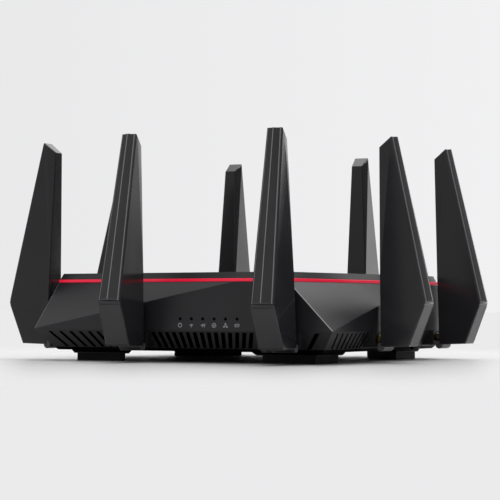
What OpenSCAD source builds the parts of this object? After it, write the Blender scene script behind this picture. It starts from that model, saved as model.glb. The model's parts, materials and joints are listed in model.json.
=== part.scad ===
// Desktop wireless router: a square faceted body on four feet, with eight blade antennas that
// swivel on their connectors, two on each side. Millimetres, +Z up. The origin is on the table,
// under the middle of the body. The front, with the indicator lights, faces -Y.
//
// Each side is drawn in the front's frame and turned by quarter turns: "along" runs to the right
// as seen from outside, and distances outwards are measured from the middle of the body.
// Each antenna is drawn in its own frame: +X outwards, +Y to the right seen from outside, +Z up,
// with X = 0 on the blade's inner edge.

/* [Body] */
// Width and depth of the body at its widest line
body_w = 245; // [240:1:255]
// Height of the widest line above the table
waist_z = 24; // [23:0.5:26]
// Height of the shoulder, where the faceted walls end
shoulder_z = 59; // [54:1:66]
// Distance from the middle of a side to the end of its upright face at the shoulder
corner_along = 88; // [78:1:96]
// Distance from the middle of a side to where its slanted facet meets the shoulder
break_along = 46; // [30:1:60]
// How far the upright faces lean in at the shoulder
face_lean = 0.5; // [0.2:0.1:2]
// Height of the underside above the table
base_z = 8.2; // [7.6:0.2:9.4]
// How far the vent band leans in from the widest line to the base
band_inset = 11; // [9:0.5:13]
// Bevel along the bottom edge of the base
base_bevel = 2.3; // [1.5:0.1:3]
// Thickness of the case walls and of the shoulder flange
wall = 2.4; // [2:0.1:2.8]
// Width of the shoulder flange, measured in from the wall's outside
flange_w = 16; // [14:0.5:20]

/* [Trim and grille] */
// Height of the coloured trim line
trim_h = 2.2; // [1.6:0.1:3]
// Width of the trim ring, under the grille's rim
trim_w = 7; // [5:0.5:9]
// Height of the grille's rim above the trim
crown_h = 4.6; // [4:0.2:7]
// Step of the rim back from the trim
crown_step = 0.8; // [0.4:0.1:1.2]
// How far the rim leans in towards its top
crown_lean = 2; // [1:0.2:3]
// Width of the solid border round the mesh
crown_border = 14; // [12:1:18]
// Thickness of the mesh
mesh_t = 1.8; // [1.4:0.1:2.2]
// Size of a mesh hole across its flats
mesh_hole = 9; // [6:0.5:10]
// Distance between mesh holes
mesh_pitch = 12; // [11:0.5:14]
// Width of the bare plate in the middle of the mesh
badge_w = 44; // [30:2:60]

/* [Feet] */
// Length of a foot's two straight sides
foot_len = 42; // [36:0.5:46]
// Height of a foot
foot_h = 5.6; // [4.6:0.2:6.4]
// Distance from the middle of the body to a foot's straight sides
foot_out = 98.8; // [94:0.2:101]

/* [Antennas] */
// Distance of the left antenna from the middle of its side
left_along = 35.2; // [33:0.2:38]
// Distance of the right antenna from the middle of its side
right_along = 87.4; // [85:0.2:92]
// Height of the connectors above the table
jack_z = 17.5; // [17:0.1:18]
// Gap between the body and the blade
blade_gap = 4.4; // [4:0.1:6]
// Height of the blade's flat foot above the table
blade_foot_z = 11.7; // [11.4:0.1:12]
// Height of the blade's inner top corner
blade_inner_z = 159; // [120:1:200]
// Height of the blade's outer top corner above the inner one
blade_top_rise = 7.6; // [4:0.2:12]
// Height of the knee, where the blade is deepest
knee_z = 43; // [38:1:60]
// Depth of the blade at its foot
foot_depth = 22; // [18:0.5:26]
// Depth of the blade at the knee
knee_depth = 35.4; // [30:0.2:42]
// Depth of the blade at its top
top_depth = 10.4; // [8:0.1:14]
// Height on the inner edge where the narrow upper facet starts
crease_z = 66; // [50:1:90]
// Thickness of the blade at its foot, inner and outer edge alike
foot_t = 19.6; // [18:0.2:20]
// Thickness of the blade's top at the inner edge
top_inner_t = 9.6; // [8:0.2:12]
// Thickness of the blade's top at the outer edge
top_outer_t = 12.4; // [10:0.2:13]
// Bevel along the blade's edges
blade_bevel = 0.6; // [0.4:0.1:1.5]
// Wall thickness of the blade
blade_wall = 1.8; // [1.4:0.1:2]
// Height of the ridge on the outer cover
ridge_h = 2.8; // [1.4:0.1:4]

/* [Connectors and hinges] */
// Radius of the connector's threaded stud
stud_r = 3.1; // [2.9:0.05:3.2]
// How far the stud reaches into the antenna's knuckle
stud_reach = 3.5; // [3:0.1:4]
// Radius of the knuckle's sleeve
sleeve_r = 4.3; // [4:0.05:4.5]
// Radius of the hinge barrel and of the blade's ears
barrel_r = 3.1; // [2.8:0.05:3.3]
// Radius of the hinge pin
pin_r = 1.2; // [1:0.05:1.4]
// Width of the knuckle between the blade's ears
knuckle_w = 12.4; // [11:0.2:12.8]
// Running clearance of a pin, stud or lens in its bore
run_gap = 0.05; // [0.03:0.01:0.08]
// Side gap between a moving piece and its neighbour
side_gap = 0.3; // [0.25:0.05:0.5]

/* [Ports and buttons] */
// Depth of the port bays behind the widest line
bay_inset = 2.9; // [2:0.1:3.5]
// Height of the port bays above the widest line
bay_rise = 4.6; // [4:0.1:5]
// Thickness of the port panel
panel_t = 2; // [1.6:0.1:2.4]
// Clearance round a socket in the panel
port_gap = 0.2; // [0.1:0.05:0.3]
// Travel of the power button
power_travel = 2; // [1:0.1:2.4]
// Travel of the small buttons
button_travel = 0.8; // [0.4:0.1:1]
// How far the buttons stand out of the panel
button_proud = 1.2; // [1:0.1:1.6]

/* [Lights] */
// Radius of an indicator lens
lens_r = 1.2; // [0.8:0.1:1.4]
// Distance between indicator lenses
lens_pitch = 9.2; // [6:0.2:10]
// Height of the lenses above the table
lens_z = 32; // [28:0.5:36]
// Distance of the first lens from the middle of the front
lens_start = 2; // [0:0.5:4]

/* [Electronics] */
// Distance from the body's widest line in to the edge of the main board
board_inset = 24.5; // [23:0.5:30]
// Thickness of the main board
board_t = 1.6; // [1.2:0.1:2]
// Height of the board's standoffs above the case floor
standoff_h = 1.2; // [0.8:0.1:1.6]
// Height of the heatsink's fins
fin_h = 16; // [8:1:24]
// Number of fins on the heatsink
fin_count = 13; // [7:1:17]

/* [Hidden] */
half = body_w / 2;
shoulder_half = half - face_lean;
floor_z = base_z + wall;
board_z = floor_z + standoff_h + board_t;
trim_z = shoulder_z + trim_h;
crown_z = trim_z + crown_h;
base_half = half - band_inset;
base_edge_z = base_z + base_bevel;
blade_at = half + blade_gap;
blade_outer_z = blade_inner_z + blade_top_rise;
panel_at = half - bay_inset;
panel_in = panel_at - panel_t;
bay_top_z = waist_z + bay_rise;
board_half = half - board_inset;

// A pad under the base carries each foot; it narrows from the base down to the foot
pad_top_edge = 3;
pad_low_edge = 1.6;
foot = [[foot_out, foot_out], [foot_out - foot_len, foot_out], [foot_out, foot_out - foot_len]];

// How far antennas 1 to 8 lean towards the body at rest, in degrees about their hinge pins
lean_in = [1.6, -2.4, 1.4, 2.4, -0.4, -3.6, 1.5, 1.5];

// Connector seats: a block in the vent band that each stud passes through
seat_w = 20;
seat_depth = 14.5;
seat_z = 11.5;
nut_flats = 8;
nut_t = 1.8;
nut_recess_r = 4.9;
tail_r = 2;
tail_len = 5;
lead_r = 0.9;
lead_run = 9;

// Hinge slot in the blade's foot
sleeve_u = 0.4;
sleeve_end = 5.8;
slot_depth = 6.8;
pin_z = blade_foot_z;
slot_half = knuckle_w / 2 + side_gap;
slot_top_z = pin_z + norm([sleeve_end, jack_z + sleeve_r - pin_z]) + side_gap;
ear_out = foot_t / 2 - 0.6;

// Posts that the long case screws run through, one per side
post_along = 66;
post_at = half - 12.5;
post_r = 4;
screw_r = 1.25;
pilot_r = 1.3;
screw_clear_r = 1.7;
head_r = 2.8;
head_h = 1.8;
lip_h = 2;
lip_t = 1.4;
leg_t = 2;

// Board screws
standoff_r = 3.6;
corner_screw = board_half - 16;
middle_screw = board_half - 36;
standoffs = [[corner_screw, corner_screw], [-corner_screw, corner_screw],
             [-corner_screw, -corner_screw], [corner_screw, -corner_screw],
             [0, middle_screw], [0, -middle_screw]];

// Port bays: [side, from, to] along the side
rear = 2;
left = 3;
socket_w = 15.9;
socket_h = 13.2;
socket_depth = 16;
lan_pitch = 14;
lan_start = -2.5;
lan_count = 4;
lan_w = lan_count * lan_pitch;
wan_at = lan_start - 10.5;
mouth_w = 11.8;
mouth_h = 6.8;
mouth_z = board_z + 3.4;
mouth_depth = 12.5;
latch_w = 6;
latch_h = 1.5;
bay_depth = 24;
bay_reach = 30;
bays = [[rear, 20 - half, -46], [rear, wan_at - 11, lan_start + lan_w + 6.5], [left, -24, 60]];
usb_w = 13.1;
usb_h = 5.9;
usb_depth = 14;
usb_lift = 3;
usb3_at = 46;
dc_w = 9;
dc_h = 10.6;
dc_depth = 13;
dc_bore_r = 3.1;
dc_pin_r = 0.95;
dc_bore_depth = 9.5;
button_z = board_z + 5.4;
switch_face = panel_in - 5.6;
switch_w = 6;
switch_depth = 6;
power_w = 7;
collar = 1;
wps_at = 24;
wifi_at = 8;
led_at = -8;

// Reset button, USB socket, power button and power inlet stand in the first bay with even gaps
bay_row = [switch_w, usb_w, power_w + 2 * collar, dc_w];
function row_width(n) = n == 0 ? 0 : bay_row[n - 1] + row_width(n - 1);
bay_room = bays[0][2] - bays[0][1] - 2 * panel_t;
bay_gap = (bay_room - row_width(4)) / 5;
function in_bay(n) = bays[0][1] + panel_t + bay_gap * (n + 1) + row_width(n) + bay_row[n] / 2;
reset_at = in_bay(0);
usb2_at = in_bay(1);
power_at = in_bay(2);
dc_at = in_bay(3);

// Lenses and light pipes
lens_count = 6;
pipe_foot_z = board_z + 1;
pipe_foot_at = board_half - 4;

// Radios, processor and heatsink, by the middle of each
can_w = 44;
can_d = 36;
can_h = 4;
cans = [[board_half - 46, board_half - 52], [board_half - 46, -22],
        [40 - board_half, 42 - board_half]];
cpu_at = [-26, 16];
cpu_w = 24;
cpu_h = 1.4;
pad_h = 0.8;
sink_w = 74;
sink_d = 62;
sink_base = 3;
fin_t = 1.4;

// Capacitors, coils and memory chips, by their first one
cap_r = 3.2;
cap_h = 8;
cap_pitch = 9;
cap_at = [board_half - 42, board_half - 8];
coil_w = 10;
coil_h = 4.5;
coil_pitch = 14;
coil_at = [board_half - 50, board_half - 26];
chip_w = 9;
chip_d = 13;
chip_h = 1.2;
chip_pitch = 16;
chip_at = [8 - board_half, 10];
led_w = 1.8;
led_h = 0.8;

// Vents in the floor of the case
vent_w = 3;
vent_len = 36;
vent_pitch = 8;
vent_at = 34;

antenna_parts = ["shell", "cover", "radiator", "knuckle"];

// Convex outlines, listed anticlockwise ---------------------------------------------------

function unit(v) = v / norm(v);
function out_normal(a, b) = unit([b.y - a.y, a.x - b.x]);
function inset_corner(p, q, r, d) =
    let (m = out_normal(p, q), n = out_normal(q, r)) q - d * (m + n) / (1 + m * n);
function inset(points, d) =
    let (n = len(points)) [for (i = [0:n - 1])
        inset_corner(points[(i + n - 1) % n], points[i], points[(i + 1) % n], d)];
function quarter(p, k) = [p.x * cos(90 * k) - p.y * sin(90 * k), p.x * sin(90 * k) + p.y * cos(90 * k)];

// Outline of the shoulder: on each side, a slanted run from the last corner to the break, and
// then an upright run to the next corner
shoulder = [for (k = [0:3], x = [break_along, corner_along]) quarter([x, -shoulder_half], k)];

// Outline of the blade in the X-Z plane, with its thickness at each corner
blade = [[0, blade_foot_z], [foot_depth, blade_foot_z], [knee_depth, knee_z],
         [top_depth, blade_outer_z], [0, blade_inner_z], [0, crease_z]];

// The broad faces are flat from the foot to the outer top corner; the facet above the crease
// turns in to the thinner inner top corner
function face_t(z) =
    foot_t + (top_outer_t - foot_t) * (z - blade_foot_z) / (blade_outer_z - blade_foot_z);
knee_t = face_t(knee_z);
blade_t = [foot_t, foot_t, knee_t, top_outer_t, top_inner_t, face_t(crease_z)];

module convex(points) {
    hull() polyhedron(points = points, faces = [[for (i = [0:len(points) - 1]) i]]);
}

function ring_points(outline, z) = [for (p = outline) [p.x, p.y, z]];
function square_points(h, z) = [[h, -h, z], [h, h, z], [-h, h, z], [-h, -h, z]];
function blade_points(outline, shrink) =
    [for (i = [0:5], s = [-1, 1]) [outline[i].x, s * (blade_t[i] / 2 - shrink), outline[i].y]];

module on_side(k) {
    rotate([0, 0, 90 * k]) children();
}

module at_antenna(i) {
    along = i % 2 == 1 ? -left_along : right_along;
    on_side(floor((i - 1) / 2)) translate([along, -blade_at, 0]) rotate([0, 0, -90]) children();
}

// A blade's pieces, leaning as the antenna does at rest
module at_blade(i) {
    at_antenna(i) translate([0, 0, pin_z]) rotate([0, -lean_in[i - 1], 0])
        translate([0, 0, -pin_z]) children();
}

// A cylinder along the antenna's own X or Y axis
module rod_x(r, x0, x1) {
    translate([x0, 0, 0]) rotate([0, 90, 0]) cylinder(r = r, h = x1 - x0, $fn = 48);
}

module rod_y(r, y0, y1) {
    translate([0, y0, 0]) rotate([-90, 0, 0]) cylinder(r = r, h = y1 - y0, $fn = 48);
}

// A block on a side: "from" and "to" along it, between two distances outwards and two heights
module side_block(from, to, inner, outer, z0, z1) {
    translate([from, -outer, z0]) cube([to - from, outer - inner, z1 - z0]);
}

module each_bay() {
    for (b = bays) on_side(b[0]) {
        $from = b[1];
        $to = b[2];
        children();
    }
}

// Holes that the sockets and buttons need in the port panel
module panel_hole(along, w, z0, z1) {
    side_block(along - w / 2 - port_gap, along + w / 2 + port_gap, panel_in - 1, panel_at + 1,
               z0 - port_gap, z1 + port_gap);
}

module round_panel_hole(along, r) {
    translate([along, -panel_in + 1, button_z]) rotate([90, 0, 0])
        cylinder(r = r + port_gap, h = panel_t + 2, $fn = 48);
}

// Case ----------------------------------------------------------------------------------

// One set of vent slots, fanned out from the corners of the band; gather brings them closer by turns.
module band_slots(first, count, pitch, w, gather = 0) {
    top = waist_z - 1.8;
    low = floor_z + 0.1;
    shrink = (base_half - 0.6) / half;
    translate([0, -half + 20, 0]) rotate([90, 0, 0]) linear_extrude(30)
        for (i = [0:count - 1]) {
            x = first + i * pitch - gather * i * i;
            polygon([[x - w / 2, top], [x * shrink - w / 2, low],
                     [x * shrink + w / 2, low], [x + w / 2, top]]);
        }
}

module case_outer() {
    convex(concat(square_points(half, waist_z), square_points(base_half, base_edge_z),
                  square_points(base_half - base_bevel, base_z)));
}

module case_cavity() {
    slope_wall = wall * norm([band_inset, waist_z - base_edge_z]) / (waist_z - base_edge_z);
    low = base_half - slope_wall + (floor_z - base_edge_z) * band_inset / (waist_z - base_edge_z);
    rim = half - slope_wall;
    convex(concat(square_points(rim, waist_z), square_points(low, floor_z),
                  square_points(rim, waist_z + bay_rise)));
}

module foot_pads() {
    low = inset(foot, -pad_low_edge);
    for (k = [0:3]) on_side(k)
        convex(concat(ring_points(inset(foot, -pad_top_edge), base_z),
                      ring_points(low, foot_h + 0.2), ring_points(low, foot_h)));
}

module seat_blocks() {
    for (i = [1:8]) at_antenna(i)
        translate([-blade_gap - seat_depth, -seat_w / 2, seat_z])
            cube([seat_depth - 0.1, seat_w, waist_z - seat_z]);
}

module seat_bores() {
    for (i = [1:8]) at_antenna(i) translate([0, 0, jack_z]) {
        rod_x(stud_r + run_gap, -blade_gap - seat_depth - 1, 0);
        rod_x(nut_recess_r, -blade_gap - nut_t - 0.1, 0);
    }
}

// Locating lip inside the cover's lower edge, kept clear of the slanted facets at the corners
module lip() {
    outer = half - wall - side_gap;
    for (k = [0:3]) on_side(k)
        side_block(corner_along - 2 * half + break_along, corner_along + 12, outer - lip_t, outer,
                   waist_z - 1, waist_z + lip_h);
}

module case_posts() {
    for (k = [0:3]) on_side(k) translate([post_along, -post_at, base_z])
        cylinder(r = post_r + 0.5, h = waist_z - base_z, $fn = 48);
    for (p = standoffs) translate([p.x, p.y, base_z])
        cylinder(r = standoff_r, h = floor_z + standoff_h - base_z, $fn = 48);
}

module case_bores() {
    for (k = [0:3]) on_side(k) translate([post_along, -post_at, 0]) {
        cylinder(r = screw_clear_r, h = waist_z + 1, $fn = 48);
        cylinder(r = head_r + side_gap, h = base_z + head_h + 0.4, $fn = 48);
    }
    for (p = standoffs) translate([p.x, p.y, base_z + 1])
        cylinder(r = pilot_r, h = floor_z, $fn = 48);
}

module port_holes() {
    on_side(rear) {
        panel_hole(wan_at, socket_w, board_z, board_z + socket_h);
        panel_hole(lan_start + lan_w / 2, lan_w, board_z, board_z + socket_h);
        panel_hole(usb2_at, usb_w, board_z + usb_lift, board_z + usb_lift + usb_h);
        panel_hole(dc_at, dc_w, board_z, board_z + dc_h);
        panel_hole(power_at, power_w, button_z - power_w / 2, button_z + power_w / 2);
        round_panel_hole(reset_at, 1.2);
    }
    on_side(left) {
        panel_hole(usb3_at, usb_w, board_z + usb_lift, board_z + usb_lift + usb_h);
        for (along = [wps_at, wifi_at, led_at]) round_panel_hole(along, 2.6);
    }
}

module floor_vents() {
    for (y = [-1, 1], i = [-6:6])
        translate([i * vent_pitch - vent_w / 2, y * vent_at - vent_len / 2, base_z - 1])
            cube([vent_w, vent_len, wall + 2]);
}

module bottom_case() {
    color([0.14, 0.14, 0.15]) difference() {
        union() {
            difference() {
                union() {
                    case_outer();
                    each_bay() side_block($from, $to, half - bay_depth, panel_at, base_z, bay_top_z);
                }
                case_cavity();
                each_bay() side_block($from + panel_t, $to - panel_t, half - bay_reach, panel_in,
                                      floor_z, bay_top_z - panel_t * 0.7);
                for (k = [0:3]) on_side(k) {
                    if (k != rear) band_slots(13 - half, 8, 9.4, 2.8, 0.22);
                    band_slots(half - 12.5, 1, 0, 3.5);
                    if (k < rear) band_slots(-21.5, 15, 5.75, 3.1);
                }
                floor_vents();
                each_bay() side_block($from, $to, panel_at, half + 1, base_z - 1, waist_z + 1);
            }
            difference() {
                lip();
                each_bay() side_block($from - 1, $to + 1, half - 20, half, waist_z, bay_top_z);
            }
            foot_pads();
            seat_blocks();
            case_posts();
        }
        seat_bores();
        case_bores();
        port_holes();
    }
}

module top_cover() {
    inner_top = inset(shoulder, wall * 1.1);
    opening = inset(shoulder, flange_w);
    color([0.2, 0.2, 0.21]) difference() {
        union() {
            difference() {
                convex(concat(square_points(half, waist_z), ring_points(shoulder, shoulder_z)));
                convex(concat(square_points(half - wall, waist_z - 1),
                              square_points(half - wall, waist_z),
                              ring_points(inner_top, shoulder_z - wall)));
            }
            for (k = [0:3]) on_side(k) translate([post_along, -post_at, waist_z])
                cylinder(r = post_r, h = shoulder_z - waist_z - wall / 2, $fn = 48);
        }
        translate([0, 0, shoulder_z - wall - 1]) linear_extrude(wall + 2) difference() {
            polygon(opening);
            for (k = [0:3]) on_side(k) translate([post_along, -post_at]) circle(r = post_r + 1);
        }
        for (k = [0:3]) on_side(k) translate([post_along, -post_at, waist_z - 1])
            cylinder(r = pilot_r, h = 17, $fn = 48);
        each_bay() side_block($from - side_gap, $to + side_gap, half - 6, half + 1, waist_z - 1,
                              bay_top_z + side_gap);
        on_side(0) for (i = [0:lens_count - 1])
            translate([lens_start + i * lens_pitch, -half + 5, lens_z]) rotate([90, 0, 0])
                cylinder(r = lens_r + run_gap, h = 10, $fn = 48);
    }
}

module trim_ring() {
    color([0.85, 0.1, 0.22]) translate([0, 0, shoulder_z]) linear_extrude(trim_h) difference() {
        polygon(shoulder);
        polygon(inset(shoulder, trim_w));
    }
}

// Mesh of hexagonal holes, kept clear of the border, of the bare plate in the middle and of the
// four ribs that run out to the corners
function mesh_open(p) =
    let (field = shoulder_half - crown_step - crown_lean - crown_border - mesh_hole * 0.9,
         a = atan2(shoulder_half - corner_along + (corner_along - break_along) / 2, 2 * half),
         q = [p.x * cos(a) - p.y * sin(a), p.x * sin(a) + p.y * cos(a)])
    max(abs(q.x), abs(q.y)) < field - 8
    && max(abs(q.x), abs(q.y)) > badge_w / 2 + mesh_hole * 0.7
    && abs(abs(q.x) - abs(q.y)) > mesh_hole;

module mesh_holes() {
    rows = ceil(half / (mesh_pitch * 0.866));
    for (j = [-rows:rows], i = [-rows:rows]) {
        p = [(i + (j % 2 == 0 ? 0 : 0.5)) * mesh_pitch, j * mesh_pitch * sqrt(3) / 2];
        if (mesh_open(p)) translate(p) rotate(30) circle(d = mesh_hole / cos(30), $fn = 6);
    }
}

module top_grille() {
    low = inset(shoulder, crown_step);
    top = inset(shoulder, crown_step + crown_lean);
    under = inset(shoulder, crown_step + crown_lean + 2);
    field = inset(shoulder, crown_step + crown_lean + crown_border);
    mesh_z = crown_z - 0.8 - mesh_t;
    opening = inset(shoulder, flange_w + side_gap);
    color([0.24, 0.24, 0.25]) {
        difference() {
            convex(concat(ring_points(low, trim_z), ring_points(top, crown_z)));
            translate([0, 0, trim_z - 1]) linear_extrude(crown_h - mesh_t + 0.2) polygon(under);
            translate([0, 0, trim_z - 1]) linear_extrude(crown_h + 2) polygon(field);
        }
        translate([0, 0, mesh_z]) linear_extrude(mesh_t) difference() {
            polygon(inset(shoulder, crown_step + crown_lean + 1.4));
            mesh_holes();
        }
        // Snap legs, hooked under the shoulder flange in the middle of its slanted runs
        for (k = [0:3]) {
            from = opening[2 * k + 1];
            to = opening[(2 * k + 2) % 8];
            translate((from + to) / 2) rotate(atan2(to.y - from.y, to.x - from.x)) {
                translate([-10, 0, shoulder_z - wall - 1.6])
                    cube([20, leg_t, mesh_z + 0.5 - shoulder_z + wall + 1.6]);
                translate([-10, -1.2, shoulder_z - wall - 1.6]) cube([20, leg_t + 1.2, 1.4]);
            }
        }
    }
}

module feet() {
    color([0.05, 0.05, 0.05]) for (k = [0:3]) on_side(k) linear_extrude(foot_h) polygon(foot);
}

module case_screws() {
    color([0.5, 0.5, 0.52]) for (k = [0:3]) on_side(k)
        translate([post_along, -post_at, base_z + 0.4]) difference() {
            union() {
                cylinder(r = head_r, h = head_h, $fn = 48);
                cylinder(r = screw_r, h = waist_z - base_z + 10, $fn = 48);
            }
            translate([0, 0, -1]) cylinder(r = 1.3, h = 2.2, $fn = 6);
        }
}

// Electronics -------------------------------------------------------------------------------

module main_board() {
    color([0.05, 0.25, 0.15]) translate([0, 0, board_z - board_t]) linear_extrude(board_t)
        difference() {
            union() {
                square(2 * board_half, center = true);
                for (b = bays) rotate(90 * b[0]) {
                    from = max(b[1] + panel_t + side_gap, -board_half);
                    translate([from, -panel_in + side_gap])
                        square([b[2] - panel_t - side_gap - from, panel_in - board_half]);
                }
            }
            for (p = standoffs) translate(p) circle(r = screw_r + 0.3, $fn = 48);
        }
}

module board_screws() {
    color([0.6, 0.6, 0.62]) for (p = standoffs) translate([p.x, p.y, board_z]) difference() {
        union() {
            cylinder(r = 2.6, h = 1.6, $fn = 48);
            translate([0, 0, -board_t - standoff_h]) cylinder(r = screw_r, h = 4, $fn = 48);
        }
        translate([0, 0, 0.8]) cylinder(r = 1.2, h = 2, $fn = 6);
    }
}

// Capacitors and coils of the supply, memory chips, indicator diodes and lead sockets
module board_parts() {
    color([0.3, 0.3, 0.32]) translate([0, 0, board_z]) {
        for (i = [0:2]) translate([cap_at.x + i * cap_pitch, cap_at.y, 0])
            cylinder(r = cap_r, h = cap_h, $fn = 48);
        for (i = [0:1]) translate([coil_at.x + i * coil_pitch, coil_at.y, 0])
            cube([coil_w, coil_w, coil_h]);
        for (i = [0:1]) translate([chip_at.x, chip_at.y + i * chip_pitch, 0])
            cube([chip_w, chip_d, chip_h]);
        for (i = [0:lens_count - 1])
            translate([lens_start + i * lens_pitch - led_w / 2, -pipe_foot_at - led_w / 2, 0])
                cube([led_w, led_w, led_h]);
    }
}

module processor() {
    color([0.12, 0.12, 0.13]) translate([cpu_at.x - cpu_w / 2, cpu_at.y - cpu_w / 2, board_z])
        cube([cpu_w, cpu_w, cpu_h]);
}

module thermal_pad() {
    color([0.6, 0.65, 0.7])
        translate([cpu_at.x - cpu_w / 2 + 1, cpu_at.y - cpu_w / 2 + 1, board_z + cpu_h])
            cube([cpu_w - 2, cpu_w - 2, pad_h]);
}

module heatsink() {
    color([0.7, 0.7, 0.72])
        translate([cpu_at.x - sink_w / 2, cpu_at.y - sink_d / 2, board_z + cpu_h + pad_h]) {
            cube([sink_w, sink_d, sink_base]);
            for (i = [0:fin_count - 1])
                translate([i * (sink_w - fin_t) / (fin_count - 1), 0, 0])
                    cube([fin_t, sink_d, sink_base + fin_h]);
        }
}

module radio_cans() {
    color([0.75, 0.75, 0.76]) for (p = cans)
        translate([p.x - can_w / 2, p.y - can_d / 2, board_z]) difference() {
            cube([can_w, can_d, can_h]);
            translate([0.4, 0.4, -1]) cube([can_w - 0.8, can_d - 0.8, can_h + 0.6]);
        }
}

// Sockets, switches and buttons -------------------------------------------------------------

module network_socket(from, w) {
    side_block(from, from + w, panel_at - socket_depth, panel_at, board_z, board_z + socket_h);
}

// A plug's room, with two steps below it for the plug's latch
module network_mouth(along) {
    for (m = [[mouth_w, mouth_z, mouth_z + mouth_h], [latch_w, mouth_z - latch_h, mouth_z + 1],
              [latch_w * 0.57, mouth_z - latch_h - 0.9, mouth_z]])
        side_block(along - m[0] / 2, along + m[0] / 2, panel_at - mouth_depth, panel_at + 1,
                   m[1], m[2]);
}

// Four sockets in one block
module lan_sockets() {
    color([0.85, 0.6, 0.1]) on_side(rear) difference() {
        network_socket(lan_start, lan_w);
        for (i = [0:lan_count - 1]) network_mouth(lan_start + (i + 0.5) * lan_pitch);
    }
}

module wan_socket() {
    color([0.1, 0.3, 0.7]) on_side(rear) difference() {
        network_socket(wan_at - socket_w / 2, socket_w);
        network_mouth(wan_at);
    }
}

// A socket shell with its tongue, standing on two lugs
module usb_socket(along) {
    z = board_z + usb_lift;
    difference() {
        side_block(along - usb_w / 2, along + usb_w / 2, panel_at - usb_depth, panel_at, z, z + usb_h);
        side_block(along - usb_w / 2 + 0.4, along + usb_w / 2 - 0.4, panel_at - usb_depth + 2,
                   panel_at + 1, z + 0.4, z + usb_h - 0.4);
    }
    side_block(along - 5, along + 5, panel_at - usb_depth + 1, panel_at - 1.5, z + usb_h - 2.5,
               z + usb_h - 0.7);
    side_block(along - 5, along + 5, panel_at - usb_depth, panel_at - panel_t - 2, board_z, z);
}

module usb_rear() {
    color([0.8, 0.8, 0.82]) on_side(rear) usb_socket(usb2_at);
}

module usb_side() {
    color([0.2, 0.4, 0.85]) on_side(left) usb_socket(usb3_at);
}

module power_inlet() {
    color([0.08, 0.08, 0.08]) on_side(rear) {
        difference() {
            side_block(dc_at - dc_w / 2, dc_at + dc_w / 2, panel_at - dc_depth, panel_at,
                       board_z, board_z + dc_h);
            translate([dc_at, -panel_at + dc_bore_depth, board_z + dc_h / 2]) rotate([90, 0, 0])
                cylinder(r = dc_bore_r, h = dc_bore_depth + 1, $fn = 48);
        }
        translate([dc_at, -panel_at + dc_bore_depth + 0.5, board_z + dc_h / 2])
            rotate([90, 0, 0]) cylinder(r = dc_pin_r, h = dc_bore_depth - 0.5, $fn = 48);
    }
}

module button_switch(along) {
    side_block(along - switch_w / 2, along + switch_w / 2, switch_face - switch_depth,
               switch_face, board_z, button_z + 2.4);
}

module button_switches() {
    color([0.15, 0.15, 0.15]) {
        on_side(rear) for (along = [power_at, reset_at]) button_switch(along);
        on_side(left) for (along = [wps_at, wifi_at, led_at]) button_switch(along);
    }
}

// A round button: cap through the panel, collar behind it and a stem towards its switch
module round_button(along, r, proud, travel) {
    translate([along, 0, button_z]) rotate([90, 0, 0]) {
        translate([0, 0, panel_in - 1.6])
            cylinder(r = r, h = panel_at + proud - panel_in + 1.6, $fn = 48);
        translate([0, 0, panel_in - 1.2 - port_gap]) cylinder(r = r + 0.9, h = 1.2, $fn = 48);
        translate([0, 0, switch_face + travel + port_gap])
            cylinder(r = 1.1, h = panel_in - switch_face - travel - 0.5, $fn = 48);
    }
}

module power_button() {
    color([0.1, 0.1, 0.1]) on_side(rear) {
        side_block(power_at - power_w / 2, power_at + power_w / 2, panel_in - 1.6,
                   panel_at + button_proud + 0.8, button_z - power_w / 2, button_z + power_w / 2);
        side_block(power_at - power_w / 2 - collar, power_at + power_w / 2 + collar,
                   panel_in - 1.2 - port_gap, panel_in - port_gap,
                   button_z - power_w / 2 - collar, button_z + power_w / 2 + 0.7);
        side_block(power_at - 1.5, power_at + 1.5, switch_face + power_travel + port_gap,
                   panel_in - 1, button_z - 1.5, button_z + 1.5);
    }
}

module reset_button() {
    color([0.5, 0.1, 0.1]) on_side(rear) round_button(reset_at, 1.2, -0.8, button_travel);
}

module wps_button() {
    color([0.12, 0.12, 0.12]) on_side(left)
        round_button(wps_at, 2.6, button_proud, button_travel);
}

module wifi_button() {
    color([0.12, 0.12, 0.12]) on_side(left)
        round_button(wifi_at, 2.6, button_proud, button_travel);
}

module led_button() {
    color([0.12, 0.12, 0.12]) on_side(left)
        round_button(led_at, 2.6, button_proud, button_travel);
}

// Six lenses in the front, each a bent pipe down to its diode, joined by one carrier bar
module light_pipes() {
    face = half - face_lean * (lens_z - waist_z) / (shoulder_z - waist_z);
    color([0.9, 0.92, 0.95]) {
        for (i = [0:lens_count - 1]) translate([lens_start + i * lens_pitch, 0, 0]) {
            translate([0, -pipe_foot_at + lens_r, lens_z]) rotate([90, 0, 0])
                cylinder(r = lens_r, h = face - pipe_foot_at + lens_r, $fn = 48);
            translate([-lens_r, -pipe_foot_at - lens_r, pipe_foot_z])
                cube([2 * lens_r, 2 * lens_r, lens_z - pipe_foot_z + lens_r]);
        }
        side_block(lens_start - 2, lens_start + (lens_count - 1) * lens_pitch + 2,
                   pipe_foot_at + 3, pipe_foot_at + 6, lens_z - 0.6, lens_z + 0.6);
    }
}

// Antenna connectors ------------------------------------------------------------------------

module antenna_jacks() {
    inner = -blade_gap - seat_depth;
    color([0.85, 0.65, 0.25]) for (i = [1:8]) at_antenna(i) translate([0, 0, jack_z]) {
        rod_x(stud_r, inner - 1, stud_reach);
        translate([inner - 2, 0, 0]) rotate([0, 90, 0])
            cylinder(d = nut_flats / cos(30), h = 2, $fn = 6);
        rod_x(tail_r, inner - 2 - tail_len, inner - 1);
    }
}

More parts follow.
